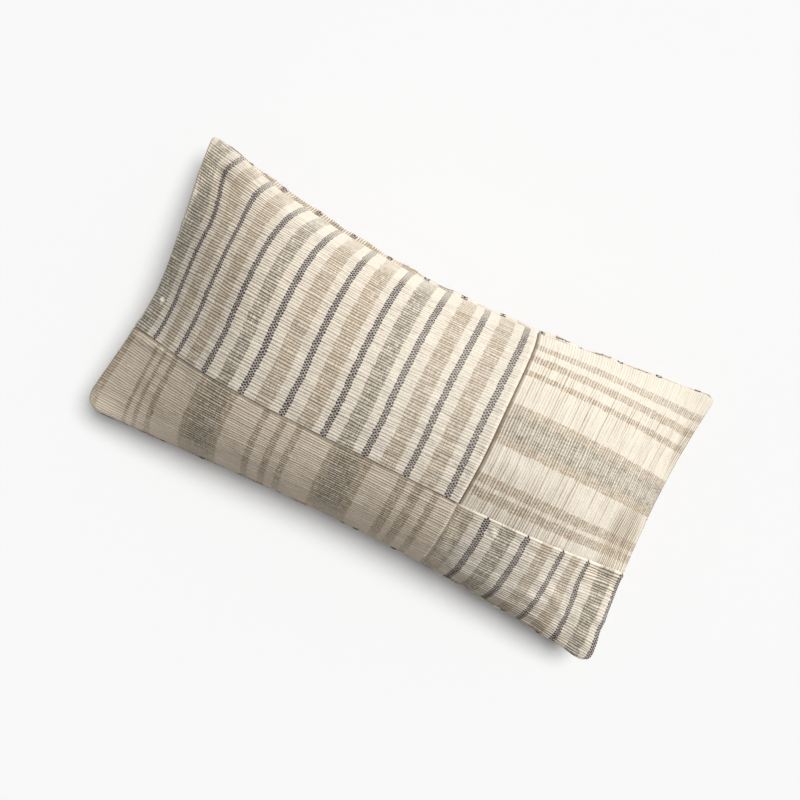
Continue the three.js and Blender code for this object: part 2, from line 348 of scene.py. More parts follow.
# The ribs of the hand-woven cotton. The yarn swells and thins and is beaten in unevenly, so they
# wander, bunch up and sink in places, with faint creases across them. Each kind of unevenness says
# how much there is of it, how long and wide it is in millimetres, and which random hills it takes.
RIB_UNEVENNESS = {
    "bends with others": {"by": 0.25, "size": (60, 12), "hills": 0},
    "bends alone": {"by": 0.3, "size": (38, 7), "hills": 1},
    "kinks": {"by": 0.12, "size": (12, 7), "hills": 4},
    "swells": {"by": 0.3, "size": (40, 7), "hills": 2},
    "slubs": {"by": 1, "size": (14, 7), "hills": 3},
    "bunches": {"by": 0.4, "size": (38, 8), "hills": 5},
    "creases": {"by": 0.3, "size": (7, 26), "hills": 6},
}
YARN_THIN, YARN_SPREAD, SLUB_FROM, RIBS_APART = 0.85, 0.5, 0.35, 10
HILL_CELLS, HILL_START = 64, 1000


def drift(x, y, size_x, size_y, seed):
    """Smooth random hills between -1 and 1, with cells of the given size."""
    lattice = np.random.default_rng(seed).uniform(-1, 1, (HILL_CELLS, HILL_CELLS))
    gx, gy = x / size_x + HILL_START, y / size_y + HILL_START
    ix, iy = np.floor(gx).astype(int), np.floor(gy).astype(int)
    fx, fy = gx - ix, gy - iy
    fx, fy = fx * fx * (3 - 2 * fx), fy * fy * (3 - 2 * fy)

    def corner(dx, dy):
        return lattice[(iy + dy) % HILL_CELLS, (ix + dx) % HILL_CELLS]

    return mix(mix(corner(0, 0), corner(1, 0), fx), mix(corner(0, 1), corner(1, 1), fx), fy)


def woven_ribs(along, rib_place, pitch, sharpness, seed):
    """Ribs that lie along the first coordinate. rib_place counts them, with a groove at each whole
    number. Gives how far each spot is moved across the ribs, in millimetres, and how high it stands,
    about 0 to 1."""
    line = np.floor(rib_place + 1e-4)
    part = rib_place - line

    def uneven(kind, across):
        made = RIB_UNEVENNESS[kind]
        return made["by"] * drift(along, across, *made["size"], seed + made["hills"])

    def pushed(line):
        together = uneven("bends with others", line * pitch)
        return together + uneven("bends alone", line * RIBS_APART) + uneven("kinks", line * RIBS_APART)

    before, after = pushed(line), pushed(line + 1)
    crest = np.abs(np.sin(np.pi * part)) ** sharpness
    yarn = YARN_THIN + YARN_SPREAD * (after - before) + uneven("swells", line * RIBS_APART)
    slub = np.maximum(0, uneven("slubs", line * RIBS_APART) - SLUB_FROM)
    height = crest * (yarn + slub) + uneven("bunches", rib_place * pitch)
    return pitch * mix(before, after, part), height + uneven("creases", rib_place * pitch)


def paint(red, green, blue):
    """A colour given as it looks, from 0 to 255, as the shader's own."""
    levels = [level / 255 for level in (red, green, blue)]
    return tuple(((level + 0.055) / 1.055) ** 2.4 for level in levels) + (1.0,)


# The cotton's colours, with the painted shade in the grooves between its ribs, in the folds between
# its stitches and along edges sewn in under a neighbour. Its yarn is hand-spun, so every part of the
# weave is a little uneven. Sizes are along and across the ribs in millimetres, and four numbers
# together carry a value from the range of the first two to the range of the last two.
CREAM, DARK_YARN = paint(239, 229, 212), paint(66, 61, 69)
GREY_YARN, TAUPE_YARN = paint(117, 108, 90), paint(152, 129, 99)
SEAM_SHADE, UNDER_SHADE, UNDER_SHOWS = paint(136, 112, 84), paint(116, 100, 78), 0.9
STITCH_EVERY, STITCH_PULL, STITCH_REACH, FOLD_WIDE = 2.9, 0.6, 3.5, 0.9
FIBRES, GRAINS, ENDS = (14, 1.3), (1.5, 1.2), (1.25, 9)
# Painted shade in the grooves of the striped cotton: its colour, the length of its darker and lighter
# stretches, and how deep it goes.
STRIPED_GROOVE_SHADE = {"shade": paint(156, 135, 109), "length": 16, "gain": 2.8, "least": -1.28}
GROOVE_POWER, GROOVE_ENDS, SHADE_SPOT_FADES, LIGHT_PALES_YARN = 1.2, 0.7, (0.1, 1.6), 0.35
SHARED_LEAN, SHARED_LEAN_BY, YARN_LEAN, YARN_LEAN_BY = (20, 3), 1.7, 12, 3.0
BAND_BLUR, BAND_DASHES, BAND_GRAINS = 7.0, (0.25, 0.95, 1.25, 0.38), 1.6
BAND_YARN, BAND_YARN_BY, BAND_ENDS = 26, 1.3, 1.7
DASH_ENDS, END_GAP, BETWEEN_DASHES = (0.26, 0.46), (-0.05, 0.25), 0.12
WORN_YARN, WORN_LEAST, WORN_BY = 8, 0.2, 0.8
FIBRE_DARK, LENGTHS, LENGTH_DARK, PATCHES, PATCH_DARK = 0.82, 70, 0.84, (30, 24), 0.9
NUBS, ROUGHNESS = (0.66, 0.76, 0.0, 0.8), (0.2, 0.8, 0.84, 0.98)
RELIEF_STRENGTH, RELIEF_DEPTH = 0.9, 0.0006
RIB_SEED, GROOVE_SEED = 7.31, 5.17


class HandWovenCotton:
    """The shading nodes of one cotton. The cloth's own coordinates are millimetres: first along the
    ribs, then across them. Its grooves lie at whole numbers of ribs, as in the mesh."""

    def __init__(self, name, pitch):
        self.material = bpy.data.materials.new(name)
        self.material.use_nodes = True
        self.tree = self.material.node_tree
        self.shader = self.tree.nodes["Principled BSDF"]
        self.weave = self.node("ShaderNodeUVMap", uv_map="weave").outputs[0]
        parts = self.node("ShaderNodeSeparateXYZ", {0: self.weave})
        self.along, self.across = parts.outputs[0], parts.outputs[1]
        self.rib = self.sum("DIVIDE", self.across, pitch)
        angle = self.sum("MULTIPLY", self.sum("FRACT", self.rib), math.pi)
        self.crest = self.sum("SINE", angle)
        self.fibres = self.spots(FIBRES, 4.0, 0.65)
        self.grains = self.spots(GRAINS, 2.0, 0.6)
        self.ends = self.spots(ENDS, 1.0, 0.5)
        # How fully the coloured yarn shows: 1, and less where a spot of painted light pales it.
        self.eased = 1.0

    def node(self, kind, inputs=(), **settings):
        """One node, with its inputs linked or set."""
        made = self.tree.nodes.new(kind)
        for key, value in settings.items():
            setattr(made, key, value)
        for key, value in dict(inputs).items():
            if isinstance(value, bpy.types.NodeSocket):
                self.tree.links.new(value, made.inputs[key])
            else:
                made.inputs[key].default_value = value
        return made

    def sum(self, operation, *values, clamp=False):
        made = self.node("ShaderNodeMath", enumerate(values), operation=operation, use_clamp=clamp)
        return made.outputs[0]

    def varied(self, value, noise, amount):
        """A value made uneven by a noise, up and down by half the amount."""
        return self.sum("MULTIPLY_ADD", noise, amount, self.sum("SUBTRACT", value, amount / 2))

    def carried(self, value, low, high, at_low, at_high):
        """A value carried from one range to another, and held at its ends."""
        made = self.node("ShaderNodeMapRange", {0: value, 1: low, 2: high, 3: at_low, 4: at_high})
        return made.outputs[0]

    def within(self, value, low, high, soft):
        """1 where a value lies between two limits, with soft edges, else 0."""
        rises = self.carried(value, low - soft, low + soft, 0.0, 1.0)
        falls = self.carried(value, high - soft, high + soft, 1.0, 0.0)
        return self.sum("MULTIPLY", rises, falls)

    def blend(self, share, first, second):
        made = self.node("ShaderNodeMix", {0: share, 6: first, 7: second}, data_type="RGBA")
        return made.outputs[2]

    def shaded(self, colour, share, dark):
        """The colour times a grey that runs from dark to 1 with the share."""
        both = {0: 1.0, 6: colour, 7: self.carried(share, 0.0, 1.0, dark, 1.0)}
        made = self.node("ShaderNodeMix", both, data_type="RGBA", blend_type="MULTIPLY")
        return made.outputs[2]

    def noise(self, place, detail, roughness):
        inputs = {"Vector": place, "Scale": 1.0, "Detail": detail, "Roughness": roughness}
        return self.node("ShaderNodeTexNoise", inputs).outputs["Fac"]

    def spots(self, size, detail=2.0, roughness=0.5):
        """Noise with spots of a size along and across the ribs."""
        scale = (1 / size[0], 1 / size[1], 1)
        place = self.node("ShaderNodeMapping", {"Vector": self.weave, "Scale": scale})
        return self.noise(place.outputs[0], detail, roughness)

    def along_lines(self, line, seed, length, detail=2.0):
        """Noise that changes along each rib or groove, and from one to the next."""
        own = self.sum("MULTIPLY", self.sum("FLOOR", line), seed)
        far = self.sum("DIVIDE", self.along, length)
        place = self.node("ShaderNodeCombineXYZ", {0: far, 1: own})
        return self.noise(place.outputs[0], detail, 0.6)

    def along_yarn(self, length):
        return self.along_lines(self.rib, RIB_SEED, length)

    def ribs(self, cream, groove, shade_spots):
        """Cream ribs with painted shade in their grooves, some grooves darker than others. The listed
        spots add painted shade to the grooves, most where the swell turns from the light and a few where
        the cloth gathers. Spots below 0 paint light instead, and at two of them show the cream of a knot
        of
        yarn: the grooves fill in and the coloured yarn pales."""
        depth = self.sum("MULTIPLY_ADD", self.ends, GROOVE_ENDS, groove["least"])
        middles = self.sum("ADD", self.rib, 0.5)
        wander = self.along_lines(middles, GROOVE_SEED, groove["length"], 3.0)
        depth = self.sum("MULTIPLY_ADD", wander, groove["gain"], depth)
        for place in shade_spots:
            away = []
            for here, middle, reach in zip((self.along, self.across), place["at"], place["reach"]):
                aside = self.sum("DIVIDE", self.sum("SUBTRACT", here, middle), reach)
                away.append(self.sum("POWER", aside, 2.0))
            groove_shade_spot = self.carried(self.sum("ADD", *away), *SHADE_SPOT_FADES, place["strength"], 0.0)
            depth = self.sum("ADD", depth, groove_shade_spot)
            # A spot of painted light pales the coloured yarn as well.
            if place["strength"] < 0:
                self.eased = self.sum("MULTIPLY_ADD", groove_shade_spot, LIGHT_PALES_YARN, self.eased)
        sides = self.sum("POWER", self.sum("SUBTRACT", 1.0, self.crest), GROOVE_POWER)
        return self.blend(self.sum("MULTIPLY", sides, depth, clamp=True), cream, groove["shade"])

    def leaning_ends(self):
        """Where the coloured ends lie. They lean a little from rib to rib, so no band is straight."""
        end = self.varied(self.along, self.spots(SHARED_LEAN), SHARED_LEAN_BY)
        return self.varied(end, self.along_yarn(YARN_LEAN), YARN_LEAN_BY)

    def coloured_bands(self, colour, end, bands):
        """Coloured ends, listed as (start, width, yarn). They show as dashes in the grooves, and the
        cream yarn rides over them on the crests."""
        blurred = self.varied(end, self.grains, BAND_BLUR)
        ramp = self.node("ShaderNodeValToRGB", {0: self.sum("DIVIDE", blurred, COVER_LENGTH)})
        ramp.color_ramp.interpolation = "CONSTANT"
        uncoloured = CREAM[:3] + (0.0,)
        ramp.color_ramp.elements[0].color = uncoloured
        ramp.color_ramp.elements.remove(ramp.color_ramp.elements[1])
        starts = {}
        for first, wide, (shade, strength) in bands:
            starts[round(first, 1)] = shade[:3] + (strength,)
            starts.setdefault(round(first + wide, 1), uncoloured)
        for place in sorted(starts):
            ramp.color_ramp.elements.new(place / COVER_LENGTH).color = starts[place]
        shows = self.carried(self.crest, *BAND_DASHES)
        shows = self.varied(shows, self.grains, BAND_GRAINS)
        shows = self.varied(shows, self.along_yarn(BAND_YARN), BAND_YARN_BY)
        shows = self.varied(shows, self.ends, BAND_ENDS)
        share = self.sum("MULTIPLY", ramp.outputs[1], shows, clamp=True)
        # The bands pale under painted light.
        return self.blend(self.sum("MULTIPLY", share, self.eased), colour, ramp.outputs[0])

    def dark_stripes(self, colour, end, first, every, wide):
        """Dark stripes three ends wide. In the middle end the dashes fall between the others'."""
        past = self.sum("SUBTRACT", end, first - every / 2)
        side = self.sum("SUBTRACT", self.sum("FLOORED_MODULO", past, every), every / 2)
        from_left = self.sum("ADD", side, wide / 2)
        which = self.sum("FLOOR", self.sum("DIVIDE", from_left, wide / 3))
        middle = self.sum("COMPARE", which, 1.0, 0.1)
        offset = self.sum("FRACT", self.sum("MULTIPLY_ADD", middle, 0.5, self.rib))
        dash = self.carried(self.sum("PINGPONG", offset, 0.5), *DASH_ENDS, 1.0, 0.0)
        in_end = self.carried(self.sum("PINGPONG", from_left, wide / 6), *END_GAP, 0.0, 1.0)
        dash = self.sum("MULTIPLY", dash, in_end)
        worn = self.sum("MULTIPLY_ADD", self.along_yarn(WORN_YARN), WORN_BY, WORN_LEAST)
        worn = self.sum("MULTIPLY_ADD", self.grains, WORN_BY, worn, clamp=True)
        there = self.within(side, -wide / 2, wide / 2, 0.15)
        there = self.sum("MULTIPLY", there, self.sum("GREATER_THAN", end, first - wide))
        # The stripes pale under painted light too.
        there = self.sum("MULTIPLY", self.sum("MULTIPLY", there, worn), self.eased)
        full = self.sum("MULTIPLY_ADD", dash, 1 - BETWEEN_DASHES, BETWEEN_DASHES)
        return self.blend(self.sum("MULTIPLY", there, full), colour, DARK_YARN)

    def hand_spun(self, colour, cream):
        """Fibres along the yarn, its darker and lighter lengths and patches, and bright nubs."""
        colour = self.shaded(colour, self.fibres, FIBRE_DARK)
        colour = self.shaded(colour, self.along_yarn(LENGTHS), LENGTH_DARK)
        colour = self.shaded(colour, self.spots(PATCHES), PATCH_DARK)
        return self.blend(self.carried(self.grains, *NUBS), colour, cream)

    def under_seam(self, colour, line, reach):
        """The shade on a turned edge that is sewn in under its neighbour, along one line of ribs."""
        away = self.sum("ABSOLUTE", self.sum("SUBTRACT", self.across, line))
        shade = self.carried(away, reach / 3, reach, UNDER_SHOWS, 0.0)
        return self.blend(shade, colour, UNDER_SHADE)

    def stitch_fold_shade(self, colour, at_edge, beside, thin, dark):
        """Painted shade in the small folds between the stitches of the outer seam, where the cloth is
        pulled.
        """
        fold = self.carried(self.sum("PINGPONG", beside, STITCH_EVERY / 2), thin, FOLD_WIDE, dark, 0.0)
        return self.blend(self.sum("MULTIPLY", at_edge, fold), colour, SEAM_SHADE)

    def finish(self, colour):
        """The last colour, and the fine relief: the yarns of a rib side by side, and their twist."""
        self.tree.links.new(colour, self.shader.inputs["Base Color"])
        height = 0.0
        for raised, by in ((self.grains, 0.9), (self.crest, 0.35), (self.fibres, 0.6), (self.ends, 0.5)):
            height = self.sum("MULTIPLY_ADD", raised, by, height)
        relief = {"Strength": RELIEF_STRENGTH, "Distance": RELIEF_DEPTH, "Height": height}
        bump = self.node("ShaderNodeBump", relief).outputs[0]
        self.tree.links.new(bump, self.shader.inputs["Normal"])
        self.tree.links.new(self.carried(self.grains, *ROUGHNESS), self.shader.inputs["Roughness"])
        self.shader.inputs["Specular IOR Level"].default_value = 0.2
        self.shader.inputs["Sheen Weight"].default_value = 0.08
        self.shader.inputs["Sheen Roughness"].default_value = 0.5
        return self.material


RIB_PITCH = 2.96
STRIPE_EVERY, STRIPE_WIDE = 44, 6.8
BAND_FROM, BAND_WIDE = 13.7, 16.5
GREY_BAND, TAUPE_BAND = (GREY_YARN, 0.74), (TAUPE_YARN, 0.64)


def striped_colour(cotton, first, between_stripes, shade_spots=()):
    """The striped cotton: narrow dark stripes with a broad pale band half way between each two. The
    bands are listed from the one before the first stripe."""
    bands = []
    for index, yarn in enumerate(between_stripes):
        bands.append((first + (index - 1) * STRIPE_EVERY + BAND_FROM, BAND_WIDE, yarn))
    colour = cotton.ribs(CREAM, STRIPED_GROOVE_SHADE, shade_spots)
    end = cotton.leaning_ends()
    colour = cotton.coloured_bands(colour, end, bands)
    colour = cotton.dark_stripes(colour, end, first, STRIPE_EVERY, STRIPE_WIDE)
    return cotton.hand_spun(colour, CREAM)


def finish_piece(name, bm, material, node):
    mesh = bpy.data.meshes.new(name)
    bm.to_mesh(mesh)
    bm.free()
    piece = bpy.data.objects.new(name, mesh)
    bpy.context.scene.collection.objects.link(piece)
    mesh.materials.append(material)
    mesh.polygons.foreach_set("use_smooth", np.ones(len(mesh.polygons), bool))
    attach(piece, "root")
    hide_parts(node)
    return piece


RIM_LEVEL, SHOWN_ABOVE = 0.5, 0.25


def shell_mesh(columns, rows, coarse_columns, coarse_rows):
    """A closed shell of two sheets on the same square: a fine one that shows, at height 1, and a
    coarse one at height 0, joined all round. Returns the mesh in the making."""
    bm = bmesh.new()
    bmesh.ops.create_grid(bm, x_segments=columns, y_segments=rows, size=0.5)
    shown = list(bm.verts)
    bmesh.ops.translate(bm, verts=shown, vec=(0, 0, 1))
    coarse = {"x_segments": coarse_columns, "y_segments": coarse_rows, "size": 0.5}
    hidden = bmesh.ops.create_grid(bm, **coarse)["verts"]
    hidden_faces = list({face for vert in hidden for face in vert.link_faces})
    bmesh.ops.reverse_faces(bm, faces=hidden_faces)
    cuts_along, cuts_across = columns // coarse_columns - 1, rows // coarse_rows - 1
    for lies_along, cuts in ((True, cuts_along), (False, cuts_across)):
        sides = set()
        for face in hidden_faces:
            for side in face.edges if face.is_valid else ():
                length_along = abs(side.verts[0].co.x - side.verts[1].co.x)
                if side.is_boundary and (length_along > 1e-6) == lies_along:
                    sides.add(side)
        if cuts > 0:
            bmesh.ops.subdivide_edges(bm, edges=list(sides), cuts=cuts)
    rim = [vert for vert in bm.verts if vert.is_boundary]
    for vert in rim:
        vert.co.z = RIM_LEVEL
    bmesh.ops.remove_doubles(bm, verts=rim, dist=1e-6)
    return bm


def read_places(bm):
    bm.verts.ensure_lookup_table()
    return np.array([vert.co for vert in bm.verts], float)


def write_places(bm, places):
    for vert, place in zip(bm.verts, places * MM):
        vert.co = place


def weave_map(bm, along, across):
    """The cloth's own coordinates in millimetres, kept with each corner."""
    layer = bm.loops.layers.uv.new("weave")
    bm.verts.index_update()
    for face in bm.faces:
        for loop in face.loops:
            index = loop.vert.index
            loop[layer].uv = (along[index], across[index])


# The back itself, with the filling inside it. Its seam has rolled a little onto the face, most of all
# along the left half of the top, so a line of the back and its stitch folds show there.
BACK_THICKNESS, BACK_LIP, RIB_HEIGHT, RIB_SHARPNESS, BACK_SEED = 1.6, 0.4, 0.7, 0.8, 11
BACK_RIBS, BACK_COLUMNS, ROWS_PER_RIB = round(COVER_WIDTH / RIB_PITCH), 200, 4
STRAIGHT_BACK_RIBS, BENDING_BACK_RIBS = 2, 4
ROLLED_ENDS, ROLLED_LEAST, ROLLED_TOP, ROLLED_MORE = 1.8, 0.8, 5.2, 2.6
ROLL_STARTS, ROLL_STOPS, ROLL_RAMP, MORE_STOPS, MORE_RAMP = 45, 470, 60, 330, 120
SEAM_FLATTENS, STITCHES_UNEVEN, STITCHES_UNEVEN_SIZE, STITCH_SEED = 0.7, 0.5, 4, 17
RIGHT_PULL, RIGHT_FROM, RIGHT_RAMP = 1.7, 560, 40
PRESSED_BELOW, PRESSED_LEAST = 6, 0.25


def rolled_over(a):
    """How far the back laps over the top edge onto the face, at each place along that edge."""
    most = ROLLED_TOP + ROLLED_MORE * np.clip((MORE_STOPS - a) / MORE_RAMP, 0, 1)
    starts = np.clip((a - ROLL_STARTS) / ROLL_RAMP, 0, 1)
    return ROLLED_LEAST + most * starts * np.clip((ROLL_STOPS - a) / ROLL_RAMP, 0, 1)


back = shell_mesh(BACK_COLUMNS, BACK_RIBS * ROWS_PER_RIB, BACK_COLUMNS // ROWS_PER_RIB, BACK_RIBS)
square = read_places(back)
a = mix(-ROLLED_ENDS, COVER_LENGTH + ROLLED_ENDS, square[:, 0] + 0.5)
rib_place = np.round((square[:, 1] + 0.5) * BACK_RIBS * ROWS_PER_RIB) / ROWS_PER_RIB
b = mix(-ROLLED_ENDS, COVER_WIDTH + rolled_over(a), rib_place / BACK_RIBS)
moved, relief = woven_ribs(a, rib_place, RIB_PITCH, RIB_SHARPNESS, BACK_SEED)
inner = np.minimum(rib_place, BACK_RIBS - rib_place) - STRAIGHT_BACK_RIBS
b = b + moved * np.clip(inner / BENDING_BACK_RIBS, 0, 1)
from_edge = np.minimum(np.minimum(a, COVER_LENGTH - a), np.minimum(b, COVER_WIDTH - b))
below = (from_edge >= 0)[:, None]
near_seam = np.exp(-((from_edge / STITCH_REACH) ** 2))
relief = relief * (1 - SEAM_FLATTENS * near_seam)
a = COVER_LENGTH - np.abs(COVER_LENGTH - np.abs(a))
b = COVER_WIDTH - np.abs(COVER_WIDTH - np.abs(b))
on_end = np.minimum(a, COVER_LENGTH - a) < np.minimum(b, COVER_WIDTH - b)
around = np.where(on_end, b, a)
pulled = STITCH_PULL * np.cos(2 * np.pi * around / STITCH_EVERY)
pulled = pulled + STITCHES_UNEVEN * drift(around, around * 0, STITCHES_UNEVEN_SIZE, 1, STITCH_SEED)
pulled = pulled * near_seam * mix(1, RIGHT_PULL, np.clip((a - RIGHT_FROM) / RIGHT_RAMP, 0, 1))
under_side, face_side = settled_form(a, b, "back"), settled_form(a, b, "face")
down, up = outward(a, b, "back"), outward(a, b, "face")
out = mix(np.where(below, down, up), down + up, 0.5 * near_seam[:, None])
pressed = np.clip(under_side[:, 2] / PRESSED_BELOW, PRESSED_LEAST, 1)
thick = mix(BACK_THICKNESS, BACK_LIP, np.clip(-from_edge / ROLLED_ENDS, 0, 1) ** 2)
thick = thick + (RIB_HEIGHT * relief + pulled) * pressed
shown = np.where(below, under_side, face_side) + out * thick[:, None]
places = np.where((square[:, 2] > SHOWN_ABOVE)[:, None], shown, face_side)
places[:, 2] = np.maximum(places[:, 2], 0)
write_places(back, places)
bmesh.ops.reverse_faces(back, faces=list(back.faces))
weave_map(back, a, rib_place * RIB_PITCH)

BACK_FIRST_STRIPE, FOLD_SHADE_SHOWS = 56, (60, 240, 40)
cotton = HandWovenCotton("striped_cotton_back", RIB_PITCH)
colour = striped_colour(cotton, BACK_FIRST_STRIPE, [GREY_BAND, TAUPE_BAND, TAUPE_BAND] * 4)
# Painted shade of the small folds between the stitches: at both ends of the back, and along its top and
# bottom only on the listed stretch.
for place, beside, size in (
    (cotton.along, cotton.across, COVER_LENGTH),
    (cotton.across, cotton.along, COVER_WIDTH),
):
    from_middle = cotton.sum("ABSOLUTE", cotton.sum("SUBTRACT", place, size / 2))
    at_edge = cotton.within(from_middle, size / 2 - 3 * STITCH_REACH, size, 0.6)
    if size == COVER_WIDTH:
        at_edge = cotton.sum("MULTIPLY", at_edge, cotton.within(beside, *FOLD_SHADE_SHOWS))
    colour = cotton.stitch_fold_shade(colour, at_edge, beside, 0.3, 0.8)
node = "filled_cushion_and_back"
cushion = finish_piece("filled_cushion", back, cotton.finish(colour), node)
cloth_pieces = [cushion]

# The large striped panel, at the top left of the pieced face. It is cut from the striped cotton with
# its ribs along the cushion, and an upright and a level seam join it to its neighbours. Its edges
# turn down into the seams, and the turned allowances lift it there a little.
UPRIGHT_FOOT, UPRIGHT_HEAD, UPRIGHT_CROSSING = 0.651, 0.663, 0.6485
LEVEL_LEFT, LEVEL_RIGHT, LEVEL_CROSSING = 0.316, 0.333, 0.317
CORNERS = {
    "bottom_left": np.array([0.0, 0.0]),
    "bottom_right": np.array([COVER_LENGTH, 0.0]),
    "top_left": np.array([0.0, COVER_WIDTH]),
    "top_right": np.array([COVER_LENGTH, COVER_WIDTH]),
    "foot": np.array([UPRIGHT_FOOT * COVER_LENGTH, 0.0]),
    "head": np.array([UPRIGHT_HEAD * COVER_LENGTH, COVER_WIDTH]),
    "left": np.array([0.0, LEVEL_LEFT * COVER_WIDTH]),
    "right": np.array([COVER_LENGTH, LEVEL_RIGHT * COVER_WIDTH]),
    "crossing": np.array([UPRIGHT_CROSSING * COVER_LENGTH, LEVEL_CROSSING * COVER_WIDTH]),
}
CLOTH_THICKNESS, PIECE_GAP, CELLS_PER_RIB, SEWN_ALLOWANCE = 1.5, 0.35, 5, 1.02
STRAIGHT_RIBS, EDGE_RELIEF, LEFT_RELIEF, LEFT_END, LEFT_RAMP = 1.5, 0.35, 0.55, 50, 110
EASED_BY, EASED_FROM = 9, 165
RUMPLES, FINE_RUMPLES, FINE_RUMPLES_BY = (24, 13), (9, 6), 0.45
ALLOWANCE_REACH, MOST_LIFTED, RIM_KEPT, RIM_STANDS = 8, 1.2, 0.8, 0.1


def groove_shade_spot(at, reach, strength):
    """A spot where the grooves darken with painted shade. A strength below 0 fills them in: painted
    light, and at two spots the cream of a knot of yarn.
    """
    return {"at": at, "reach": reach, "strength": strength}


def turned_edge(reach, left_over, raised=0.0):
    """How wide a panel's edge rolls down, what share of its thickness is left there, and how much
    its turned allowance lifts it."""
    return {"reach": reach, "left_over": left_over, "raised": raised}


OUTER_EDGE = turned_edge(2, 0.3)


def hill(a, b, at_a, at_b, wide_a, wide_b):
    return np.exp(-(((a - at_a) / wide_a) ** 2) - ((b - at_b) / wide_b) ** 2)


def eased_height(b):
    return np.clip((b - EASED_FROM) / (COVER_WIDTH - EASED_FROM), 0, 1)


def main_grain(a, b):
    """Where the striped cotton of the large panel has each of its ends. It is taken up as it climbs
    from the left end, eased towards the crown along the top seam, and drawn aside at the ear."""
    climbed, high = np.clip((a - 28) / 88, 0, 1), eased_height(b)
    end = a + 9.5 * climbed**2 * (3 - 2 * climbed) - 10.5 * high
    end = end + 2 * hill(a, 0, 135, 0, 45, 1) + 8 * hill(a, 0, 0, 0, 22, 1)
    end = end - 8 * hill(a, 0, 140, 0, 55, 1) * high**3
    end = end + 11 * hill(a, b, 36, 290, 42, 26) - 5 * hill(a, b, 50, 235, 30, 34)
    return end - 4 * hill(a, b, 30, 110, 36, 60)


def little_rumpled(a, b):
    """How unevenly a panel lies, in millimetres: most where the filling is loose."""
    return 0.25 + 0.5 * hill(a, b, 40, 250, 50, 60) + 0.5 * hill(a, b, 380, 150, 50, 50)


def sewn_panel(
    name, material, corners, ribs_along, ribs, pitch, cells,
    rib_height, sharpness, edges, rumpled, grain, seed,
):
    """One panel. Its corners run anticlockwise from the bottom left, and its edges from the bottom."""
    c0, c1, c2, c3 = (CORNERS[key] for key in corners)
    if ribs_along:
        bm = shell_mesh(cells, ribs * CELLS_PER_RIB, cells // CELLS_PER_RIB, ribs)
    else:
        bm = shell_mesh(ribs * CELLS_PER_RIB, cells, ribs, cells // CELLS_PER_RIB)
    square = read_places(bm)
    s, t = square[:, 0] + 0.5, square[:, 1] + 0.5
    shows = square[:, 2] > SHOWN_ABOVE
    rim = np.abs(square[:, 2] - RIM_LEVEL) < 0.1
    wide = np.linalg.norm(mix(c1, c2, 0.5) - mix(c0, c3, 0.5))
    tall = np.linalg.norm(mix(c3, c2, 0.5) - mix(c0, c1, 0.5))

    def spread(s, t):
        low, high = c0 + (c1 - c0) * s[:, None], c3 + (c2 - c3) * s[:, None]
        return (low + (high - low) * t[:, None]).T

    a, b = spread(s, t)
    rib_place = np.round((t if ribs_along else s) * ribs * CELLS_PER_RIB) / CELLS_PER_RIB
    along = grain(a, b) if ribs_along else b
    moved, relief = woven_ribs(along, rib_place, pitch, sharpness, seed)
    inner = np.clip(np.minimum(rib_place, ribs - rib_place) / STRAIGHT_RIBS, 0, 1)
    if ribs_along:
        t = t + moved * inner / tall
    else:
        eased = EASED_BY * eased_height(b) ** 3 * np.sin(np.pi * s)
        s = s + (moved * inner + eased) / wide
    a, b = spread(s, t)
    along = grain(a, b) if ribs_along else b
    relief = relief * mix(EDGE_RELIEF, 1, inner)
    relief = relief * mix(LEFT_RELIEF, 1, np.clip((a - LEFT_END) / LEFT_RAMP, 0, 1))
    broad, fine = drift(a, b, *RUMPLES, seed + 8), drift(a, b, *FINE_RUMPLES, seed + 9)
    rumple = rumpled(a, b) * (broad + FINE_RUMPLES_BY * fine)
    roll, lift = 1.0, 0.0
    for away, made in zip((t * tall, (1 - s) * wide, (1 - t) * tall, s * wide), edges):
        share = np.clip(away / made["reach"], 0, 1)
        roll = roll * mix(made["left_over"], 1, np.sqrt(1 - (1 - share) ** 2))
        lift = lift + made["raised"] * np.clip(1.4 - away / ALLOWANCE_REACH, 0, 1)
    full = CLOTH_THICKNESS + np.clip(lift, 0, MOST_LIFTED) + rib_height * relief + rumple
    height = np.where(shows, PIECE_GAP + roll * full, PIECE_GAP)
    rim_full = CLOTH_THICKNESS * RIM_KEPT * np.clip(2.2 * (roll - 0.3), 0, 1)
    height = np.where(rim, PIECE_GAP + RIM_STANDS + rim_full, height)
    a = np.clip(a, ROLLED_ENDS, COVER_LENGTH - ROLLED_ENDS)
    b = np.maximum(b - rolled_over(a) * (b / COVER_WIDTH) ** 6, ROLLED_ENDS)
    write_places(bm, settled_form(a, b, "face") + outward(a, b, "face") * height[:, None])
    for side in bm.edges:
        if rim[side.verts[0].index] and rim[side.verts[1].index]:
            side.smooth = False
    weave_map(bm, along, np.clip(rib_place, 0.5, ribs - 0.5) * pitch)
    piece = finish_piece(name, bm, material, name)
    cloth_pieces.append(piece)


MAIN_RIBS, MAIN_FIRST_STRIPE, MAIN_UNDER = 73, 38.5, 1.4
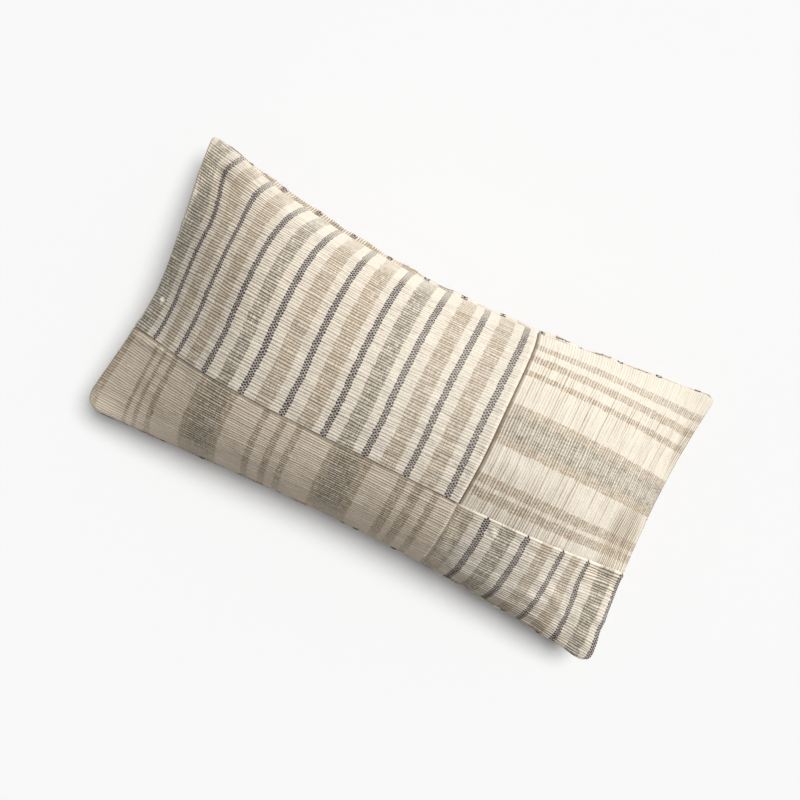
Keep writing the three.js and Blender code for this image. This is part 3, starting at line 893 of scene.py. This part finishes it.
# Spots of painted shade, most on the left half, which turns from the light; spots of painted light along
# the lit top edge and right of the middle; and the knot of yarn near the left end.
main_shade_spots = [
    groove_shade_spot((26, 160), (40, 60), 0.35),
    groove_shade_spot((90, 110), (70, 130), 0.22),
    groove_shade_spot((350, 90), (80, 90), -0.35),
    groove_shade_spot((220, 216), (230, 26), -1.3),
    groove_shade_spot((21, 38), (3, 3), -4),
    groove_shade_spot((56, 180), (50, 44), 0.75),
    groove_shade_spot((150, 110), (120, 60), 0.28),
]
cotton = HandWovenCotton("striped_cotton_main", RIB_PITCH)
between_stripes = [GREY_BAND, TAUPE_BAND, TAUPE_BAND] * 3
colour = striped_colour(cotton, MAIN_FIRST_STRIPE, between_stripes, main_shade_spots)
colour = cotton.under_seam(colour, MAIN_RIBS * RIB_PITCH, MAIN_UNDER)
sewn_panel(
    "front_main_panel", cotton.finish(colour),
    corners=("left", "crossing", "head", "top_left"),
    ribs_along=True, ribs=MAIN_RIBS, pitch=RIB_PITCH, cells=200,
    rib_height=0.36, sharpness=0.8,
    edges=(turned_edge(1.2, 0.55, 0.6), turned_edge(1.2, 0.42, 1.0), OUTER_EDGE, OUTER_EDGE),
    rumpled=little_rumpled, grain=main_grain, seed=21,
)

# The long strip at the bottom left, cut from a second, banded cotton with its ribs along the cushion.
# It lies in the shade of the swell. Broad grey bands with taupe sides and groups of three thin taupe
# stripes cross it, and its top edge is sewn in under the large panel.
BANDED_PITCH, STRIP_RIBS, STRIP_UNDER = 2.85, 36, 2.6
# The strip's cream, taupe and groove colours are darker and greyer than the same cotton's on the turned
# panel: painted shade of the swell.
SHADED_STRIP_CREAM = paint(233, 218, 197)
STRIP_GROOVE_SHADE = {"shade": paint(158, 136, 112), "length": 24, "gain": 2.6, "least": -1.2}
END_TAUPE, SHADED_STRIP_TAUPE, STRIP_GREY = (TAUPE_YARN, 0.6), (paint(142, 125, 98), 0.68), (GREY_YARN, 0.8)


def thin_stripes(middles, wide, yarn):
    return [(middle - wide / 2, wide, yarn) for middle in middles]


def broad_band(start, ends):
    """A broad band of several yarns side by side, each given as its width and its yarn."""
    made = []
    for wide, yarn in ends:
        made.append((start, wide, yarn))
        start = start + wide
    return made


def banded_colour(cotton, cream, groove, bands, shade_spots):
    """The banded cotton, with bands of its own on each panel."""
    colour = cotton.ribs(cream, groove, shade_spots)
    colour = cotton.coloured_bands(colour, cotton.leaning_ends(), bands)
    return cotton.hand_spun(colour, cream)


def plain_grain(a, b):
    return a


strip_bands = broad_band(0.5, [(13, END_TAUPE)])
strip_bands += thin_stripes((51, 63, 78), 5.5, SHADED_STRIP_TAUPE)
for start in (116, 260):
    strip_bands += broad_band(start, [(8, SHADED_STRIP_TAUPE), (26, STRIP_GREY), (8, SHADED_STRIP_TAUPE)])
strip_bands += thin_stripes((190.4, 208.4, 225.4, 336.4, 352.4, 370.4), 7.8, SHADED_STRIP_TAUPE)
cotton = HandWovenCotton("banded_cotton_strip", BANDED_PITCH)
# Painted light along the bottom edge, which turns from the light.
strip_shade_spots = [groove_shade_spot((250, 4), (300, 20), -1.4)]
colour = banded_colour(cotton, SHADED_STRIP_CREAM, STRIP_GROOVE_SHADE, strip_bands, strip_shade_spots)
colour = cotton.under_seam(colour, STRIP_RIBS * BANDED_PITCH, STRIP_UNDER)
sewn_panel(
    "front_lower_strip", cotton.finish(colour),
    corners=("bottom_left", "foot", "crossing", "left"),
    ribs_along=True, ribs=STRIP_RIBS, pitch=BANDED_PITCH, cells=200,
    rib_height=0.4, sharpness=1.2,
    edges=(OUTER_EDGE, turned_edge(1.6, 0.15), turned_edge(2.5, 0.7, 0.2), OUTER_EDGE),
    rumpled=little_rumpled, grain=plain_grain, seed=31,
)

# The turned panel at the top right, of the banded cotton again, a quarter turned, so its ribs stand
# upright and its bands run along the cushion. Its left edge is sewn in under the large panel. Along
# its right edge, where the stitches of the outer seam pull it into small folds, painted shade marks
# the folds.
TURNED_RIBS, TURNED_UNDER, TURNED_CREAM = 73, 4.2, paint(236, 226, 209)
# Painted shade in the grooves of the turned panel: few grooves take it, and those over long stretches.
TURNED_GROOVE_SHADE = {"shade": paint(166, 148, 124), "length": 70, "gain": 4.6, "least": -2.4}
THIN_TAUPE, WIDE_TAUPE = (TAUPE_YARN, 0.64), (TAUPE_YARN, 0.6)
WIDE_GREY, PALE_GREY = (GREY_YARN, 0.64), (paint(132, 121, 100), 0.56)
FOLDS_UNEVEN, FOLDS_UNEVEN_BY = (9, 9), 7.0
grey_band = [(9.5, WIDE_TAUPE), (8.5, WIDE_GREY), (9, PALE_GREY), (8, WIDE_GREY), (8, WIDE_TAUPE)]
turned_bands = broad_band(115, [(9.5, THIN_TAUPE)]) + broad_band(129, [(9, THIN_TAUPE)])
turned_bands += broad_band(169, grey_band)
turned_bands += thin_stripes((250, 270, 289), 8, THIN_TAUPE)
# Spots of painted shade in the grooves, partly on the gathering of the cloth towards the right end, and
# one of painted light.
turned_shade_spots = [
    groove_shade_spot((136, 178), (42, 22), 2.1),
    groove_shade_spot((262, 200), (40, 8), 0.9),
    groove_shade_spot((122, 50), (32, 60), 0.6),
    groove_shade_spot((305, 110), (36, 120), -0.7),
]
cotton = HandWovenCotton("banded_cotton_turned", BANDED_PITCH)
colour = banded_colour(cotton, TURNED_CREAM, TURNED_GROOVE_SHADE, turned_bands, turned_shade_spots)
colour = cotton.under_seam(colour, 0.0, TURNED_UNDER)
# Painted shade of the small folds along the right edge, placed unevenly.
right_seam = TURNED_RIBS * BANDED_PITCH
at_right = cotton.within(cotton.across, right_seam - STITCH_REACH, right_seam, 0.8)
unevenly = cotton.sum("MULTIPLY_ADD", cotton.spots(FOLDS_UNEVEN), FOLDS_UNEVEN_BY, cotton.along)
colour = cotton.stitch_fold_shade(colour, at_right, unevenly, 0.2, 0.75)
sewn_panel(
    "front_turned_panel", cotton.finish(colour),
    corners=("crossing", "right", "top_right", "head"),
    ribs_along=False, ribs=TURNED_RIBS, pitch=BANDED_PITCH, cells=110,
    rib_height=0.2, sharpness=1.0,
    edges=(turned_edge(1.5, 0.85), OUTER_EDGE, OUTER_EDGE, turned_edge(4, 0.1)),
    rumpled=little_rumpled, grain=plain_grain, seed=41,
)

# The corner panel at the bottom right, of the striped cotton with its ribs along the cushion. It is
# the most crumpled piece, because the right end of the filling is hollow. Its turned allowance
# stands up along the seam to the turned panel.
CORNER_RIBS, CORNER_FIRST_STRIPE = 35, 434


def corner_grain(a, b):
    """Where the corner panel has each of its ends. It is drawn in where the filling is hollow."""
    end = a + 7 + 3 * np.clip((a - 490) / 40, 0, 1) - 3 * np.clip((a - 580) / 20, 0, 1)
    return end + 10 * hill(a, b, 550, 95, 22, 45)


def much_rumpled(a, b):
    return 0.7 + 0.7 * hill(a, b, 560, 40, 50, 50)


# Spots of painted shade at the fold by the right end and along the bottom edge, which turns from the
# light, one of painted light above that, and the knot of yarn.
corner_shade_spots = [
    groove_shade_spot((590, 92), (26, 14), 1.0),
    groove_shade_spot((500, 14), (90, 20), 0.9),
    groove_shade_spot((500, 58), (90, 36), -0.3),
    groove_shade_spot((444, 90), (3.5, 4), -4),
]
cotton = HandWovenCotton("striped_cotton_corner", RIB_PITCH)
between_stripes = [TAUPE_BAND, GREY_BAND, TAUPE_BAND, TAUPE_BAND, GREY_BAND]
colour = striped_colour(cotton, CORNER_FIRST_STRIPE, between_stripes, corner_shade_spots)
sewn_panel(
    "front_corner_panel", cotton.finish(colour),
    corners=("foot", "bottom_right", "right", "crossing"),
    ribs_along=True, ribs=CORNER_RIBS, pitch=RIB_PITCH, cells=105,
    rib_height=0.4, sharpness=1.0,
    edges=(OUTER_EDGE, OUTER_EDGE, turned_edge(1.2, 0.75, 0.9), turned_edge(1.8, 0.15, 0.2)),
    rumpled=much_rumpled, grain=corner_grain, seed=51,
)

# The plain pale floor of the studio, a smooth matt sheet that the cushion lies on. It is only there
# for the picture.
FLOOR_SIZE, FLOOR_BELOW, FLOOR_GREY, FLOOR_ROUGHNESS = 8.0, 0.0002, (0.7, 0.7, 0.7, 1), 0.9
bm = bmesh.new()
bmesh.ops.create_grid(bm, x_segments=1, y_segments=1, size=FLOOR_SIZE / 2)
bmesh.ops.translate(bm, verts=list(bm.verts), vec=(0, 0, -FLOOR_BELOW))
floor_mesh = bpy.data.meshes.new("floor")
bm.to_mesh(floor_mesh)
bm.free()
floor = bpy.data.objects.new("floor", floor_mesh)
bpy.context.scene.collection.objects.link(floor)
floor_paint = bpy.data.materials.new("pale_floor")
floor_paint.use_nodes = True
floor_shader = floor_paint.node_tree.nodes["Principled BSDF"]
floor_shader.inputs["Base Color"].default_value = FLOOR_GREY
floor_shader.inputs["Roughness"].default_value = FLOOR_ROUGHNESS
floor_mesh.materials.append(floor_paint)

# Soft studio light from beyond the top right corner, in a pale room. One broad light is set for the
# cushion and one, higher and softer, for the floor.
ROOM_LIGHT, LIGHT_TURN = 0.28, math.radians(51)
world = bpy.data.worlds.new("studio")
bpy.context.scene.world = world
world.use_nodes = True
world.node_tree.nodes["Background"].inputs["Color"].default_value = (1, 1, 1, 1)
world.node_tree.nodes["Background"].inputs["Strength"].default_value = ROOM_LIGHT
LIGHTS = {
    "cushion_light": {"height": 41, "energy": 4.36, "angle": 30, "falls_on": cloth_pieces},
    "floor_light": {"height": 62, "energy": 3.78, "angle": 34, "falls_on": [floor]},
}
for name, made in LIGHTS.items():
    light = bpy.data.objects.new(name, bpy.data.lights.new(name, "SUN"))
    bpy.context.scene.collection.objects.link(light)
    light.data.energy = made["energy"]
    light.data.angle = math.radians(made["angle"])
    light.rotation_euler = (math.radians(90 - made["height"]), 0, LIGHT_TURN + math.pi / 2)
    lit = bpy.data.collections.new(name + "_falls_on")
    for piece in made["falls_on"]:
        lit.objects.link(piece)
    light.light_linking.receiver_collection = lit

# The camera, which looks straight down on the face, turned as the cushion lies in the photograph. Its
# lens gives the photograph's scale at the height of the seam.
CAMERA_HEIGHT, SEAM_PLANE, FILM_WIDTH = 0.9, 0.056, 36
PIXELS_PER_MM, PHOTO_SIZE, PHOTO_ROLL = 0.966, 800, math.radians(27.55)
camera = bpy.data.objects.new("camera", bpy.data.cameras.new("camera"))
bpy.context.scene.collection.objects.link(camera)
bpy.context.scene.camera = camera
camera.data.sensor_width = FILM_WIDTH
camera.data.lens = CAMERA_HEIGHT / MM * PIXELS_PER_MM / PHOTO_SIZE * FILM_WIDTH
one_pixel = MM / PIXELS_PER_MM
camera_x, camera_y = -math.sin(PHOTO_ROLL) * one_pixel, math.cos(PHOTO_ROLL) * one_pixel
camera.location = (camera_x, camera_y, SEAM_PLANE + CAMERA_HEIGHT)
camera.rotation_euler = (0, 0, PHOTO_ROLL)
bpy.context.scene.view_settings.view_transform = "Standard"
